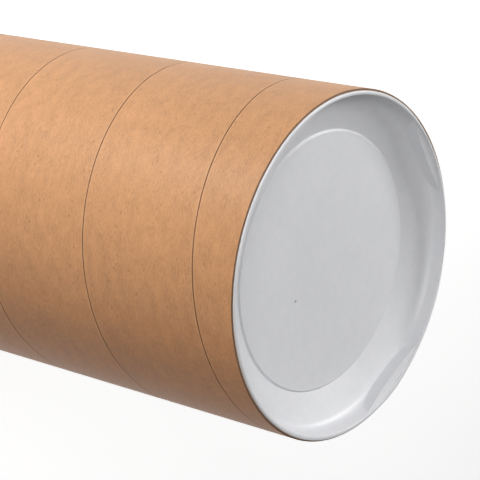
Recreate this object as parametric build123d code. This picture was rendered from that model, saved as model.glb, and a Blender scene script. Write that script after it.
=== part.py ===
from build123d import *
import math
import os

# A large cardboard mailing tube: a spiral-wound paper tube with the same white plastic cap pushed
# into each end. Millimetres, +Z up. The tube stands on its bottom cap's rim, and the origin is
# the middle of that base.

# Tube: paper plies wound on a slant and glued into one wall
TUBE_BORE = 254.0
TUBE_WALL = 3.175
TUBE_LENGTH = 609.6

# Caps: thin polyethylene mouldings. Depths are below the seat plane, where the rim meets the tube
CAP_CLEARANCE = 0.15  # radial gap between a cap's plug and the bore
PLASTIC = 1.2  # thickness of the moulding
RIM_LAP = 1.5  # how far the rim reaches over the end of the tube's wall
RIM_HEIGHT = 1.5  # how far the rim stands proud of the tube's end
RIM_ROUND = 0.9  # rounding of the rim's crest
WALL_DRAFT = 10.0  # degrees that the plug's wall leans in
CORNER_DEPTH = 10.35  # where the wall's line meets the sloping floor's line
FOOT_ROUND = 9.0  # the large round between wall and floor
FLOOR_WIDTH = 26.0  # the sloping floor, measured along a radius
FLOOR_DROP = 10.8
DISC_STEP = 1.3  # the flat middle disc stands this much above the floor around it
STEP_RUN = 1.0  # width of the slanted step round the disc
STEP_ROUND = 0.5

# Flats: four short chords across the top of the recess, each with a small ledge behind the rim
FLAT_COUNT = 4
FLAT_SET_IN = 5.5  # the middle of a flat, measured in from the recess's edge
FLAT_FIRST = 52.0  # degrees from +X to the middle of the first flat
LEDGE_DROP = 2.1  # how far a ledge falls from the rim to the middle of its flat

bore_radius = TUBE_BORE / 2
tube_radius = bore_radius + TUBE_WALL
rim_radius = bore_radius + RIM_LAP
draft = math.radians(WALL_DRAFT)
recess_radius = bore_radius - CAP_CLEARANCE - PLASTIC / math.cos(draft)
corner_radius = recess_radius - CORNER_DEPTH * math.tan(draft)
step_radius = corner_radius - FLOOR_WIDTH
disc_radius = step_radius - STEP_RUN
floor_depth = CORNER_DEPTH + FLOOR_DROP
disc_depth = floor_depth - DISC_STEP
flat_distance = recess_radius - FLAT_SET_IN
ledge_slope = LEDGE_DROP / FLAT_SET_IN
below_cap = floor_depth + 5 * PLASTIC
beyond_rim = rim_radius + 5 * PLASTIC


def revolved(face):
    """Turn a half section, drawn as radius and height, once round the Z axis."""
    return revolve(Plane.XZ * face, Axis.Z, 360)


def recess_section():
    """Half section of the hollow in a cap: disc, step, sloping floor, round foot, drafted wall."""
    surface = FilletPolyline(
        (0, -disc_depth),
        (disc_radius, -disc_depth),
        (step_radius, -floor_depth),
        (corner_radius, -CORNER_DEPTH),
        (recess_radius, 0),
        radius=[STEP_ROUND, STEP_ROUND, FOOT_ROUND],
    )
    lid = Polyline((recess_radius, 0), (0, 0), (0, -disc_depth))
    return make_face([*surface.edges(), *lid.edges()])


def plug_section():
    """Half section of the whole plug, one thickness of plastic outside the hollow."""
    grown = offset(recess_section(), PLASTIC, kind=Kind.INTERSECTION)
    kept = Rectangle(beyond_rim, below_cap, align=(Align.MIN, Align.MAX))
    return grown & kept


def rim_section():
    """Half section of the rim that laps over the tube's end, its crest rounded on both sides."""
    width = rim_radius - recess_radius
    bar = Pos(recess_radius, 0) * Rectangle(width, RIM_HEIGHT, align=(Align.MIN, Align.MIN))
    crest = bar.vertices().sort_by(Axis.Y)[-2:]
    return fillet(crest, RIM_ROUND)


def behind_flats(distance, ledge_depth):
    """The four lumps of space that lie past the flats and under their ledges.

    A lump is the part of a ring beyond a plane at that distance from the axis. The ring's top is
    a cone, which falls towards the axis from ledge_depth at the recess's edge.
    """
    inside = distance - FLAT_SET_IN
    section = Polyline(
        (inside, -ledge_depth - ledge_slope * (recess_radius - inside)),
        (beyond_rim, -ledge_depth + ledge_slope * (beyond_rim - recess_radius)),
        (beyond_rim, -below_cap),
        (inside, -below_cap),
        close=True,
    )
    ring = revolved(make_face(section))
    half = Pos(distance, 0, 0) * Box(
        beyond_rim, 2 * beyond_rim, 4 * below_cap, align=(Align.MIN, Align.CENTER, Align.CENTER)
    )
    lump = ring & half
    return [Rot(0, 0, FLAT_FIRST + k * 360 / FLAT_COUNT) * lump for k in range(FLAT_COUNT)]


def cap():
    """One cap with its seat plane at z = 0 and its rim upwards."""
    ledge_plastic = PLASTIC * math.hypot(1, ledge_slope)
    hollow = revolved(recess_section())
    plug = revolved(plug_section())
    for lump in behind_flats(flat_distance, 0):
        hollow = hollow - lump
    for lump in behind_flats(flat_distance + PLASTIC, ledge_plastic):
        plug = plug - lump
    return plug + revolved(rim_section()) - hollow


def tube():
    """The paper tube with square-cut ends, its lower end at z = 0."""
    wall = Circle(tube_radius) - Circle(bore_radius)
    return extrude(wall, TUBE_LENGTH)


moulding = cap()
parts = {
    "bottom_cap": Pos(0, 0, RIM_HEIGHT) * Rot(180, 0, 0) * moulding,
    "kraft_tube": Pos(0, 0, RIM_HEIGHT) * tube(),
    "top_cap": Pos(0, 0, RIM_HEIGHT + TUBE_LENGTH) * moulding,
}

os.makedirs("parts", exist_ok=True)
for name, shape in parts.items():
    export_step(shape, f"parts/{name}.step")
    size = shape.bounding_box().size
    print(name, "volume", round(shape.volume), "size", [round(v, 2) for v in size])
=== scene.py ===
import math
import bpy
import numpy as np
from mathutils import Matrix, Vector


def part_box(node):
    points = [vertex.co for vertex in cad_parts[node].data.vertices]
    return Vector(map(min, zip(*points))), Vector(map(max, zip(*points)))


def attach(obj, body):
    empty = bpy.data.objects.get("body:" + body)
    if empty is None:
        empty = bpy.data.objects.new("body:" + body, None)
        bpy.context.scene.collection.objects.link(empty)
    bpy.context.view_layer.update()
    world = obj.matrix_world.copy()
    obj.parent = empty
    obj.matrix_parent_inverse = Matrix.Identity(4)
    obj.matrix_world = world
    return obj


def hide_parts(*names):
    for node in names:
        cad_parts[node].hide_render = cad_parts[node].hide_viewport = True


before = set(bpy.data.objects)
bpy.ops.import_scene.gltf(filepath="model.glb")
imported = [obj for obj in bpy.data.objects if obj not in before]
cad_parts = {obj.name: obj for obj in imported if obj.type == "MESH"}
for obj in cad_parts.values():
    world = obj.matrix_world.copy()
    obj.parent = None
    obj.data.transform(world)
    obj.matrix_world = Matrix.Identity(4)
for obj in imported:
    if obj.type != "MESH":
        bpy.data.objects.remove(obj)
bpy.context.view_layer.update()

# A large cardboard mailing tube, wound from kraft paper, with a white polyethylene cap pushed
# into each end. Metres, in the CAD frame: the tube stands on its bottom cap's rim.

MM = 0.001

# Where the CAD puts things
tube_low, tube_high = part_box("kraft_tube")
_, cap_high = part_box("top_cap")
TUBE_BOTTOM = tube_low.z
TUBE_TOP = tube_high.z
CREST_TOP = cap_high.z
TUBE_RADIUS = 130.05 * MM  # a hair inside the CAD tube's 130.175 mm, so its box holds the piece
BORE_RADIUS = 127.0 * MM

# The winding: a strip of paper laid on a slant, edge to edge, so its edges are one spiral seam
PITCH = 104.7 * MM  # rise in one turn
SEAM_ANGLE = -105.0  # degrees round from +X where the seam is SEAM_BELOW under the cap's crest
SEAM_BELOW = 45.0 * MM
TUBE_COLUMNS = 288
SEAM_HALF = 0.40 * MM  # half the width of the gap between two edges of the strip
SEAM_DEEP = 0.30 * MM
SEAM_LIP = 0.9 * MM  # the paper's edge lifts a trace this far from the seam
CUT_EDGE = 0.25 * MM  # the crushed corner of the sawn end

# The cap's moulding. Depths are below its seat, where its rim meets the tube's end
PLASTIC = 1.2 * MM
RIM_HEIGHT = 1.5 * MM
RIM_RADIUS = 128.5 * MM
RECESS_RADIUS = 125.6315 * MM
WALL_DRAFT = math.radians(10.0)
CORNER_DEPTH = 10.35 * MM
CORNER_RADIUS = RECESS_RADIUS - CORNER_DEPTH * math.tan(WALL_DRAFT)
FOOT_ROUND = 9.0 * MM
FLOOR_DEPTH = 21.15 * MM
STEP_RADIUS = CORNER_RADIUS - 26.0 * MM
DISC_RADIUS = STEP_RADIUS - 1.0 * MM
DISC_DEPTH = 19.85 * MM
STEP_SOFT = 0.35 * MM  # half the width that the step's corners are rounded over
FLAT_DISTANCE = 120.1315 * MM
FLAT_ANGLES = (51.0, 141.5, 232.5, 323.5)
FLAT_SOFT = 0.25 * MM
LEDGE_SLOPE = 0.3818
CAP_COLUMNS = 576
RIM_LOBES = ((10, 24, 0.7), (49, 9, 0.9), (106, 10, -0.6), (146, 14, -1.0))  # degrees, degrees, mm


# ---------------------------------------------------------------- surfaces


def skin(name, patches, materials, body, replaced):
    """One closed mesh from grids of points.

    A patch is (points, map, material number): a grid of places, and a grid of two map
    coordinates. Each cell of a grid becomes two triangles, seen from outside when the second
    index runs to the left of the first. Corners at the same place are merged, and triangles
    that lose a side by it are dropped.
    """
    places, corners, maps, numbers, first = [], [], [], [], 0
    for points, mapped, number in patches:
        rows, columns = points.shape[:2]
        ids = first + np.arange(rows * columns).reshape(rows, columns)
        a, b, c, d = ids[:-1, :-1], ids[1:, :-1], ids[1:, 1:], ids[:-1, 1:]
        cells = np.stack([a, b, c, a, c, d], axis=-1).reshape(-1, 3)
        places.append(points.reshape(-1, 3))
        maps.append(mapped.reshape(-1, 2))
        corners.append(cells)
        numbers.append(np.full(len(cells), number))
        first += rows * columns
    places, maps = np.concatenate(places), np.concatenate(maps)
    corners, numbers = np.concatenate(corners), np.concatenate(numbers)
    grid = np.round(places / (1e-4 * MM)).astype(np.int64)
    _, chosen, merged = np.unique(grid, axis=0, return_index=True, return_inverse=True)
    faces = merged.reshape(-1)[corners]
    whole = (
        (faces[:, 0] != faces[:, 1]) & (faces[:, 1] != faces[:, 2]) & (faces[:, 2] != faces[:, 0])
    )
    faces, corners, numbers = faces[whole], corners[whole], numbers[whole]
    mesh = bpy.data.meshes.new(name)
    mesh.vertices.add(len(chosen))
    mesh.vertices.foreach_set("co", places[chosen].astype(np.float32).ravel())
    mesh.loops.add(faces.size)
    mesh.loops.foreach_set("vertex_index", faces.astype(np.int32).ravel())
    mesh.polygons.add(len(faces))
    mesh.polygons.foreach_set("loop_start", np.arange(0, faces.size, 3, dtype=np.int32))
    mesh.update(calc_edges=True)
    layer = mesh.uv_layers.new(name="surface")
    layer.data.foreach_set("uv", maps[corners].astype(np.float32).ravel())
    for material in materials:
        mesh.materials.append(material)
    mesh.polygons.foreach_set("material_index", numbers.astype(np.int32))
    mesh.polygons.foreach_set("use_smooth", np.ones(len(faces), bool))
    mesh.set_sharp_from_angle(angle=math.radians(38))
    mesh.validate()
    piece = bpy.data.objects.new(name, mesh)
    bpy.context.scene.collection.objects.link(piece)
    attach(piece, body)
    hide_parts(replaced)
    return piece


def around(radius, height, turn):
    """Points from radius, height and turn (in whole turns), which may be arrays of one shape."""
    angle = 2 * math.pi * np.mod(turn, 1.0)
    radius, height = np.broadcast_to(radius, angle.shape), np.broadcast_to(height, angle.shape)
    return np.stack([radius * np.cos(angle), radius * np.sin(angle), height], axis=-1)


def seam_relief(across):
    """Height of the paper near the strip's edges.

    A V of depth SEAM_DEEP and half width SEAM_HALF at the edge, then a lip that rises a trace
    and fades out over SEAM_LIP.
    """
    off = np.minimum(np.mod(across, PITCH), PITCH - np.mod(across, PITCH))
    valley = -SEAM_DEEP * np.clip(1 - off / SEAM_HALF, 0, 1)
    lip = 0.03 * MM * np.clip(1 - np.abs(off - SEAM_HALF) / SEAM_LIP, 0, 1)
    return valley + np.where(off > SEAM_HALF, lip, lip * off / SEAM_HALF)


def wound_surface(radius, start, bottom, top, across, relief):
    """A strip laid round a cylinder on a slant, cut square at both ends.

    The point at turn t and height w across the strip is at height start + PITCH * t + w, held
    between the two ends, on radius plus the relief at w. The map is the distance along the
    strip and the distance across it.
    """
    first = math.floor((bottom - start) / PITCH) - 1
    last = math.ceil((top - start) / PITCH)
    steps = np.arange(first * TUBE_COLUMNS, last * TUBE_COLUMNS + 1)
    turn = (steps / TUBE_COLUMNS)[:, None]
    laid = start + PITCH * turn
    height = np.clip(laid + across[None, :], bottom, top)
    width = height - laid
    points = around(radius + relief * seam_relief(width), height, turn + 0 * width)
    slant = math.atan2(PITCH, 2 * math.pi * radius)
    along = 2 * math.pi * radius * turn / math.cos(slant) + width * math.sin(slant)
    return points, np.stack([along, width * math.cos(slant)], axis=-1)


def sawn_end(start, height, outwards):
    """The flat ring of the wall's cut plies: rows run from the outer edge to the bore.

    The outer row follows the wound surface, seam and all, and both corners are crushed by
    CUT_EDGE.
    """
    turn = np.arange(TUBE_COLUMNS + 1)[:, None] / TUBE_COLUMNS
    outer = TUBE_RADIUS + seam_relief(height - outwards * CUT_EDGE - start - PITCH * turn)
    share = np.linspace(0, 1, 9)[None, :]
    inner_corner, outer_corner = BORE_RADIUS + CUT_EDGE, outer - CUT_EDGE
    flat = outer_corner + (inner_corner - outer_corner) * share
    low = height - outwards * CUT_EDGE
    radius = np.hstack([outer, flat, np.full_like(outer, BORE_RADIUS)])
    heights = np.hstack([np.full_like(outer, low), 0 * flat + height, np.full_like(outer, low)])
    points = around(radius, heights, turn + 0 * radius)
    mapped = np.stack([2 * math.pi * TUBE_RADIUS * (turn + 0 * radius), radius], axis=-1)
    return points, mapped


def make_tube(kraft, cut_board):
    """The wound outside, the wound bore and the two sawn ends, as one closed wall."""
    seam_at_zero = CREST_TOP - SEAM_BELOW - PITCH * SEAM_ANGLE / 360
    bottom, top = TUBE_BOTTOM + CUT_EDGE, TUBE_TOP - CUT_EDGE
    edge = np.array([0, 0.2, 0.4, 0.5, 0.9, 1.4]) * MM
    between = np.linspace(6 * MM, PITCH - 6 * MM, 10)
    outside_rows = np.concatenate([edge, between, PITCH - edge[::-1]])
    bore_rows = np.linspace(0, PITCH, 8)
    points, mapped = wound_surface(TUBE_RADIUS, seam_at_zero, bottom, top, outside_rows, 1.0)
    patches = [(points, mapped, 0)]
    bore_seam = seam_at_zero + 0.4 * PITCH
    points, mapped = wound_surface(BORE_RADIUS, bore_seam, bottom, top, bore_rows, 0.0)
    patches.append((points[:, ::-1], mapped[:, ::-1], 0))
    points, mapped = sawn_end(seam_at_zero, TUBE_TOP, 1)
    patches.append((points, mapped, 1))
    points, mapped = sawn_end(seam_at_zero, TUBE_BOTTOM, -1)
    patches.append((points[:, ::-1], mapped[:, ::-1], 1))
    materials = [kraft, cut_board]
    return skin("kraft_tube_wound", patches, materials, "tube", "kraft_tube")


def floor_height(radius, thickness):
    """Height of the cap's floor at a radius: disc, step and slope.

    Straight lines through the section's corners, averaged over STEP_SOFT to each side so that
    the corners are round, and moved down by the thickness.
    """
    slope = (FLOOR_DEPTH - CORNER_DEPTH) / (CORNER_RADIUS - STEP_RADIUS)
    reach = CORNER_RADIUS + 20 * MM
    knots = np.array([0, DISC_RADIUS, STEP_RADIUS, reach])
    far_depth = FLOOR_DEPTH - slope * (reach - STEP_RADIUS)
    levels = -np.array([DISC_DEPTH, DISC_DEPTH, FLOOR_DEPTH, far_depth])
    levels[-2:] -= thickness * (math.hypot(1, slope) - 1)
    shifts = np.linspace(-STEP_SOFT, STEP_SOFT, 9)
    soft = np.mean([np.interp(radius + shift, knots, levels) for shift in shifts], axis=0)
    return soft - thickness


def foot_centre():
    """Centre of the round between wall and sloping floor, FOOT_ROUND from both of their lines."""
    slope = math.atan2(FLOOR_DEPTH - CORNER_DEPTH, CORNER_RADIUS - STEP_RADIUS)
    wall = np.array([-math.cos(WALL_DRAFT), math.sin(WALL_DRAFT)])
    floor = np.array([-math.sin(slope), math.cos(slope)])
    corner = np.array([CORNER_RADIUS, -CORNER_DEPTH])
    offsets = [wall @ corner + FOOT_ROUND, floor @ corner + FOOT_ROUND]
    centre = np.linalg.solve(np.array([wall, floor]), offsets)
    return centre, slope


def wall_radius(height, thickness):
    """Radius of the round wall at a height: the drafted line above, the foot's round below."""
    (centre_r, centre_z), _ = foot_centre()
    line = RECESS_RADIUS + thickness / math.cos(WALL_DRAFT) + height * math.tan(WALL_DRAFT)
    round_ = FOOT_ROUND + thickness
    drop = np.clip(centre_z - height, 0, round_)
    arc = centre_r + np.sqrt(round_**2 - drop**2)
    tangent = centre_z - round_ * math.sin(WALL_DRAFT)
    return np.where(height > tangent, line, arc)


def flat_radius(turn, thickness):
    """Distance from the axis to the nearest flat's plane in each direction: d / cos(angle off)."""
    off = [np.mod(turn * 360 - angle + 180, 360) - 180 for angle in FLAT_ANGLES]
    nearest = np.min(np.abs(off), axis=0)
    return (FLAT_DISTANCE + thickness) / np.cos(np.radians(nearest))


def softer(a, b, width):
    """The smaller of a and b, with the change from one to the other rounded over width."""
    mix = np.clip(0.5 + 0.5 * (b - a) / width, 0, 1)
    return b + (a - b) * mix - width * mix * (1 - mix)


def cap_side(turn, thickness, floor_radii, wall_steps, ledge_steps):
    """Radius and height of one side of the cap, from its middle up to its seat.

    Rows cross the floor out to the foot's round, climb the wall to a flat's top edge, and then
    follow the ledge out to the edge of the recess. Away from the flats the ledge shrinks to
    almost nothing.
    """
    (centre_r, centre_z), slope = foot_centre()
    reach = FOOT_ROUND + thickness
    foot_r, foot_z = centre_r + reach * math.sin(slope), centre_z - reach * math.cos(slope)
    edge = RECESS_RADIUS + thickness / math.cos(WALL_DRAFT)
    ledge_drop = thickness * (math.hypot(1, LEDGE_SLOPE) - (0 if thickness == 0 else LEDGE_SLOPE))
    corner_r = softer(flat_radius(turn, thickness), edge - 0.04 * MM + 0 * turn, FLAT_SOFT)
    corner_z = -LEDGE_SLOPE * (edge - corner_r) - ledge_drop * np.clip((edge - corner_r) / MM, 0, 1)
    radii = np.concatenate([floor_radii, [foot_r]])
    floor_r = radii[None, :] + 0 * turn
    floor_z = floor_height(floor_r, thickness)
    floor_z[:, -1] = foot_z
    share = wall_steps[None, :]
    wall_z = foot_z + (corner_z - foot_z) * share
    wall_r = softer(wall_radius(wall_z, thickness), flat_radius(turn, thickness) + 0 * wall_z, FLAT_SOFT)
    top = share > 0.999
    wall_r = np.where(top, corner_r, wall_r)
    out = ledge_steps[None, :]
    ledge_r = corner_r + (edge - corner_r) * out
    ledge_z = corner_z * (1 - out)
    return np.hstack([floor_r, wall_r, ledge_r]), np.hstack([floor_z, wall_z, ledge_z])


def rim_spread(turn):
    """How far the thin rim strays from a true circle: the sum of RIM_LOBES, each a bell."""
    degrees = turn * 360
    stray = 0 * turn
    for middle, width, amount in RIM_LOBES:
        off = np.mod(degrees - middle + 180, 360) - 180
        stray = stray + amount * MM * np.exp(-((off / width) ** 2))
    return stray


def make_cap(name, seat, upwards, body, replaced, plastic):
    """The whole moulding: its open side, the rim's crest, and its underside, as one closed skin.

    The crest is half a squared-off ellipse over the rim's width. The bottom cap is the same
    moulding turned half over about the X axis.
    """
    turn = np.arange(CAP_COLUMNS + 1)[:, None] / CAP_COLUMNS
    near_step = DISC_RADIUS - np.array([2.2, 1.2]) * MM
    disc = np.concatenate([np.linspace(0, DISC_RADIUS - 4 * MM, 9), near_step])
    step = DISC_RADIUS + np.linspace(-0.5, 1.6, 12) * MM
    slope = np.linspace(STEP_RADIUS + 1.6 * MM, 118.0 * MM, 8)
    floor_radii = np.concatenate([disc, step, slope])
    wall_steps = np.linspace(0.05, 1, 20)
    ledge_steps = np.array([0.12, 0.4, 0.7, 0.9, 1.0])
    open_r, open_z = cap_side(turn, 0.0, floor_radii, wall_steps, ledge_steps)
    lap = np.linspace(0.06, 0.97, 15)[None, :] * math.pi
    rim_out = RIM_RADIUS + rim_spread(turn)
    middle, half = (RECESS_RADIUS + rim_out) / 2, (rim_out - RECESS_RADIUS) / 2
    crest_r = middle - half * np.sign(np.cos(lap)) * np.abs(np.cos(lap)) ** 0.75
    crest_z = RIM_HEIGHT * np.sin(lap) ** 0.6 + 0 * turn
    plug_radius = RECESS_RADIUS + PLASTIC / math.cos(WALL_DRAFT)
    under_r = np.hstack([rim_out, 0.5 * (rim_out + plug_radius)])
    under_z = 0 * under_r
    coarse = np.concatenate([np.linspace(0, DISC_RADIUS - 4 * MM, 6), step[::2], slope[::2]])
    back_r, back_z = cap_side(turn, PLASTIC, coarse, wall_steps, ledge_steps)
    radius = np.hstack([open_r, crest_r, under_r, back_r[:, ::-1]])
    height = np.hstack([open_z, crest_z, under_z, back_z[:, ::-1]])
    points = around(radius, height, turn + 0 * radius)
    if not upwards:
        points = points * np.array([1.0, -1.0, -1.0])
    points[..., 2] += seat
    mapped = points[..., :2]
    patches = [(points[:, ::-1], mapped[:, ::-1], 0)]
    return skin(name, patches, [plastic], body, replaced)


# ---------------------------------------------------------------- materials


class Value:
    """An output in a material's nodes. Sums, differences and products of it add Math nodes."""

    def __init__(self, tree, socket=None):
        self.tree, self.socket = tree, socket

    def node(self, kind, settings=None, inputs=None, output=0):
        """Any node: its type, its settings, then the values or links of its sockets."""
        made = self.tree.nodes.new(kind)
        for name, value in (settings or {}).items():
            setattr(made, name, value)
        for name, value in (inputs or {}).items():
            if isinstance(value, Value):
                self.tree.links.new(value.socket, made.inputs[name])
            else:
                made.inputs[name].default_value = value
        return Value(self.tree, made.outputs[output]) if len(made.outputs) else Value(self.tree)

    def math(self, operation, *values):
        return self.node("ShaderNodeMath", {"operation": operation}, dict(enumerate(values)))

    def __add__(self, other):
        return self.math("ADD", self, other)

    __radd__ = __add__

    def __mul__(self, other):
        return self.math("MULTIPLY", self, other)

    __rmul__ = __mul__

    def __sub__(self, other):
        return self.math("SUBTRACT", self, other)

    def __rsub__(self, other):
        return self.math("SUBTRACT", other, self)

    def smooth(self, low, high):
        """0 below low and 1 above high, with a smooth S between."""
        settings = {"interpolation_type": "SMOOTHSTEP"}
        inputs = {"Value": self, 1: low, 2: high, 3: 0.0, 4: 1.0}
        return self.node("ShaderNodeMapRange", settings, inputs)

    def mix(self, start, end):
        """A colour that goes from start to end as this value goes from 0 to 1."""
        inputs = {0: self, 6: start, 7: end}
        return self.node("ShaderNodeMix", {"data_type": "RGBA"}, inputs, 2)

    def stretched(self, scale):
        """This vector, multiplied part by part."""
        return self.node("ShaderNodeVectorMath", {"operation": "MULTIPLY"}, {0: self, 1: scale})

    def noise(self, scale, detail=2.0, rough=0.5):
        inputs = {"Vector": self, "Scale": scale, "Detail": detail, "Roughness": rough}
        return self.node("ShaderNodeTexNoise", {}, inputs)

    def distance(self, point):
        return self.node("ShaderNodeVectorMath", {"operation": "DISTANCE"}, {0: self, 1: point}, 1)


def colour(red, green, blue):
    return (red, green, blue, 1.0)


def new_material(name):
    """An empty material: its Principled shader and a Value to begin its expressions from."""
    material = bpy.data.materials.new(name)
    material.use_nodes = True
    tree = material.node_tree
    return material, tree.nodes["Principled BSDF"], Value(tree)


def connect(shader, base, rough, bump_height, strength, distance):
    """Joins the worked-out colour, roughness and bump height to the shader."""
    tree = base.tree
    tree.links.new(base.socket, shader.inputs["Base Color"])
    tree.links.new(rough.socket, shader.inputs["Roughness"])
    inputs = {"Strength": strength, "Distance": distance, "Height": bump_height}
    bump = base.node("ShaderNodeBump", {}, inputs)
    tree.links.new(bump.socket, shader.inputs["Normal"])


KRAFT = (0.447, 0.232, 0.110)
KRAFT_SPECKS = ((-74.0, 0.517, 0.55), (-60.0, 0.470, 0.35))  # degrees, height in m, size in mm


def kraft_material():
    """Unbleached kraft paper: fibres along the winding, soft clouds, rare dark shives, painted shade in
    the seam's gap and a painted highlight along its edges.
    """
    material, shader, start = new_material("kraft_paper")
    laid = start.node("ShaderNodeUVMap", {"uv_map": "surface"})
    parts = start.node("ShaderNodeSeparateXYZ", {}, {0: laid})
    across = Value(start.tree, parts.socket.node.outputs[1])
    strip = PITCH * math.cos(math.atan2(PITCH, 2 * math.pi * TUBE_RADIUS))
    off_seam = across.math("MINIMUM", across, strip - across)
    # seam marks the gap between the strip's edges, where the painted shade goes
    seam = 1 - off_seam.smooth(0.26 * MM, 0.62 * MM)
    # A painted highlight along the strip's lifted edges, just beside the seam's gap.
    edge_highlight = off_seam.smooth(0.5 * MM, 0.8 * MM) * (1 - off_seam.smooth(0.9 * MM, 2.2 * MM))
    fibres = laid.stretched((260, 800, 1)).noise(1.0, 3.0, 0.6)
    grain = laid.stretched((900, 1100, 1)).noise(1.0, 2.0, 0.6)
    clouds = laid.stretched((70, 120, 1)).noise(1.0, 3.0, 0.55)
    drift = laid.stretched((6, 9, 1)).noise(1.0, 1.0)
    tone = 0.5 + 1.5 * (fibres - 0.5) + 1.1 * (grain - 0.5)
    tone = tone + 1.1 * (clouds - 0.5) + 0.5 * (drift - 0.5)
    dark = colour(*[0.80 * c for c in KRAFT])
    pale = colour(*[1.20 * c for c in KRAFT])
    paper = tone.math("MINIMUM", tone.math("MAXIMUM", tone, 0.0), 1.0).mix(dark, pale)
    rare = laid.stretched((55, 140, 1)).noise(1.0, 0.0)
    shive = laid.stretched((300, 900, 1)).noise(1.0, 0.0).smooth(0.70, 0.77) * rare.smooth(0.50, 0.62)
    paper = (0.55 * shive).mix(paper, colour(0.16, 0.08, 0.045))
    # Painted highlight: the paper is lightened along both sides of the seam.
    paper = (0.12 * edge_highlight).mix(paper, colour(0.75, 0.52, 0.34))
    # Painted shade: the seam's gap is darkened to near-black, standing in for the shade in the groove.
    paper = (0.88 * seam).mix(paper, colour(0.085, 0.035, 0.016))
    place = start.node("ShaderNodeTexCoord", {}, None, 3)
    for angle, height, size in KRAFT_SPECKS:
        turned = math.radians(angle)
        spot = (TUBE_RADIUS * math.cos(turned), TUBE_RADIUS * math.sin(turned), height)
        mark = 1 - place.distance(spot).smooth(0.5 * size * MM, 1.5 * size * MM)
        paper = (0.8 * mark).mix(paper, colour(0.13, 0.055, 0.025))
    rough = 0.44 + 0.12 * (clouds - 0.5) + 0.10 * (fibres - 0.5)
    shader.inputs["Specular IOR Level"].default_value = 0.16
    connect(shader, paper, rough, fibres + 0.6 * grain, 0.25, 0.05 * MM)
    return material


def cut_board_material():
    """The sawn end of the wall: darker than the paper, partly its own colour and partly painted shade
    from under the cap's rim, with the plies as rings.
    """
    material, shader, start = new_material("cut_board")
    place = start.node("ShaderNodeTexCoord", {}, None, 3)
    flat = place.stretched((1, 1, 0))
    radius = flat.node("ShaderNodeVectorMath", {"operation": "LENGTH"}, {0: flat}, 1)
    fuzz = place.noise(1500, 3.0, 0.6)
    ply = start.math("SINE", radius * (2 * math.pi / (0.5 * MM)) + 3 * fuzz)
    shade = 0.5 + 0.28 * ply + 0.8 * (fuzz - 0.5)
    # These dark browns hold painted shade for the gap under the cap's rim, on top of the board's own
    # colour.
    base = shade.mix(colour(0.15, 0.08, 0.045), colour(0.32, 0.19, 0.11))
    connect(shader, base, 0.85 + 0.1 * fuzz, fuzz + 0.3 * ply, 0.5, 0.15 * MM)
    return material


def polyethylene_material():
    """Milky white polyethylene with a satin face, faint flow clouds and a few scuffs."""
    material, shader, start = new_material("white_polyethylene")
    place = start.node("ShaderNodeTexCoord", {}, None, 3)
    clouds = place.noise(22, 2.0, 0.5)
    fine = place.noise(700, 2.0, 0.6)
    scuffs = place.stretched((260, 900, 260)).noise(1.0, 3.0, 0.6)
    patches = place.noise(170, 3.0, 0.6)
    tone = 0.5 + 0.8 * (clouds - 0.5) + 1.1 * (patches - 0.5) + 0.5 * (fine - 0.5)
    base = tone.mix(colour(0.745, 0.75, 0.775), colour(0.815, 0.815, 0.83))
    spot = (32.5 * MM, -24.7 * MM, TUBE_TOP - DISC_DEPTH)
    mark = 1 - place.distance(spot).smooth(0.7 * MM, 1.5 * MM)
    base = (0.8 * mark).mix(base, colour(0.30, 0.30, 0.32))
    rough = 0.38 + 0.14 * (clouds - 0.5) + 0.10 * (scuffs - 0.5)
    connect(shader, base, rough, clouds * 6 + 0.4 * fine, 0.10, 0.15 * MM)
    return material


# ---------------------------------------------------------------- room

SKY = 0.02  # strength of the world's own light on the object
FLOOR_RADIUS = 6.0
FLOOR_SIDES = 96
FLOOR_LIFT = 0.6  # added to the floor where it is only seen, and not where it lights

def soft_lamp(name, place, aim, width, height, power, tint):
    """A soft box of that width and height, turned to face a point. Cameras don't see it."""
    data = bpy.data.lights.new(name, "AREA")
    data.shape = "RECTANGLE"
    data.size, data.size_y = width, height
    data.energy, data.color = power, tint
    lamp = bpy.data.objects.new(name, data)
    lamp.location = place
    lamp.rotation_mode = "QUATERNION"
    lamp.rotation_quaternion = (Vector(aim) - Vector(place)).to_track_quat("-Z", "Y")
    lamp.visible_camera = False
    bpy.context.scene.collection.objects.link(lamp)
    return lamp


def at(azimuth, elevation, distance, centre=(0.0, 0.0, 0.45)):
    """A place seen from the centre in that direction: azimuth round from +X, elevation up."""
    turned, raised = math.radians(azimuth), math.radians(elevation)
    flat = distance * math.cos(raised)
    return (
        centre[0] + flat * math.cos(turned),
        centre[1] + flat * math.sin(turned),
        centre[2] + distance * math.sin(raised),
    )


def background_rays(tree):
    """1 for the rays that show the background: the camera's, glossy and transmitted ones."""
    paths = Value(tree).node("ShaderNodeLightPath").socket.node.outputs
    seen = Value(tree, paths["Is Camera Ray"])
    for name in ("Is Glossy Ray", "Is Transmission Ray"):
        seen = seen.math("MAXIMUM", seen, Value(tree, paths[name]))
    return seen


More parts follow.
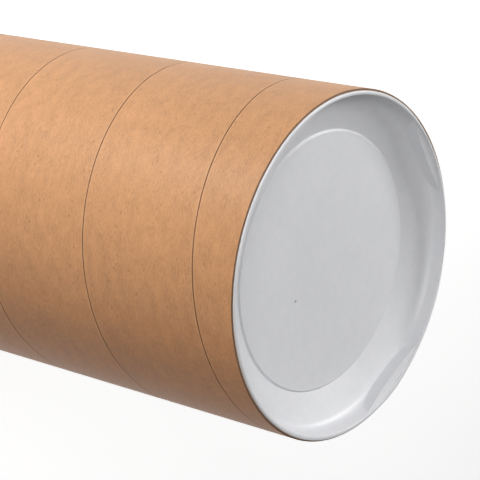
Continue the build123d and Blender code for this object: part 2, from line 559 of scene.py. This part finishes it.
def light_room():
    """A key from behind on the left, a tall strip and broad fills from the front, a weak sky."""
    top = (0.0, 0.0, TUBE_TOP)
    middle = (0.0, 0.0, 0.35)
    white = (1.0, 1.0, 1.0)
    soft_lamp("key", at(140, 35, 1.9, top), top, 0.75, 0.75, 22.5, white)
    soft_lamp("strip", (-0.447, -0.663, 0.25), (0.0, 0.0, 0.25), 0.16, 0.7, 5.9, white)
    soft_lamp("front", at(-95, 35, 2.4, middle), middle, 1.0, 1.0, 21.0, white)
    soft_lamp("over", at(-150, 70, 2.4, middle), middle, 1.0, 1.0, 5.5, white)
    soft_lamp("side", at(-35, -4, 2.2, middle), middle, 1.0, 0.6, 5.0, (1.0, 0.50, 0.22))
    world = bpy.data.worlds.new("soft_sky")
    bpy.context.scene.world = world
    world.use_nodes = True
    tree = world.node_tree
    strength = SKY + (1.0 - SKY) * background_rays(tree)
    background = tree.nodes["Background"]
    background.inputs["Color"].default_value = colour(1.0, 1.0, 1.0)
    tree.links.new(strength.socket, background.inputs["Strength"])


def lay_floor():
    """A wide pale round floor. The camera sees it lifted towards white, with the shadows kept."""
    turn = np.arange(FLOOR_SIDES) / FLOOR_SIDES
    edge = around(FLOOR_RADIUS + 0 * turn, 0 * turn, turn)
    mesh = bpy.data.meshes.new("floor")
    mesh.from_pydata(edge.tolist(), [], [list(range(FLOOR_SIDES))])
    floor = bpy.data.objects.new("floor", mesh)
    bpy.context.scene.collection.objects.link(floor)
    material = bpy.data.materials.new("pale_floor")
    material.use_nodes = True
    tree = material.node_tree
    tree.nodes.remove(tree.nodes["Principled BSDF"])
    start = Value(tree)
    matt = start.node("ShaderNodeBsdfDiffuse", {}, {"Color": colour(0.8, 0.8, 0.8)})
    lift = start.node("ShaderNodeEmission", {}, {"Strength": FLOOR_LIFT * background_rays(tree)})
    both = start.node("ShaderNodeAddShader", {}, {0: matt, 1: lift})
    tree.links.new(both.socket, tree.nodes["Material Output"].inputs["Surface"])
    mesh.materials.append(material)


def set_camera():
    """A long lens above the near side, looking down at the cap, rolled till the tube lies flat."""
    data = bpy.data.cameras.new("camera")
    data.sensor_width = 36.0
    data.lens = 137.88
    data.clip_start, data.clip_end = 0.05, 30.0
    camera = bpy.data.objects.new("camera", data)
    forward = Vector((0.0, 0.78777, -0.61598)).normalized()
    right = Vector((-0.21729, 0.60126, 0.76894)).normalized()
    up = right.cross(forward)
    turn = Matrix((right, up, -forward)).transposed().to_4x4()
    camera.matrix_world = Matrix.Translation((-0.00213, -1.10026, CREST_TOP + 0.75784)) @ turn
    bpy.context.scene.collection.objects.link(camera)
    bpy.context.scene.camera = camera


kraft = kraft_material()
cut_board = cut_board_material()
plastic = polyethylene_material()
make_tube(kraft, cut_board)
make_cap("top_cap_moulding", TUBE_TOP, True, "top", "top_cap", plastic)
make_cap("bottom_cap_moulding", TUBE_BOTTOM, False, "bottom", "bottom_cap", plastic)
light_room()
lay_floor()
set_camera()
bpy.context.scene.view_settings.view_transform = "Standard"
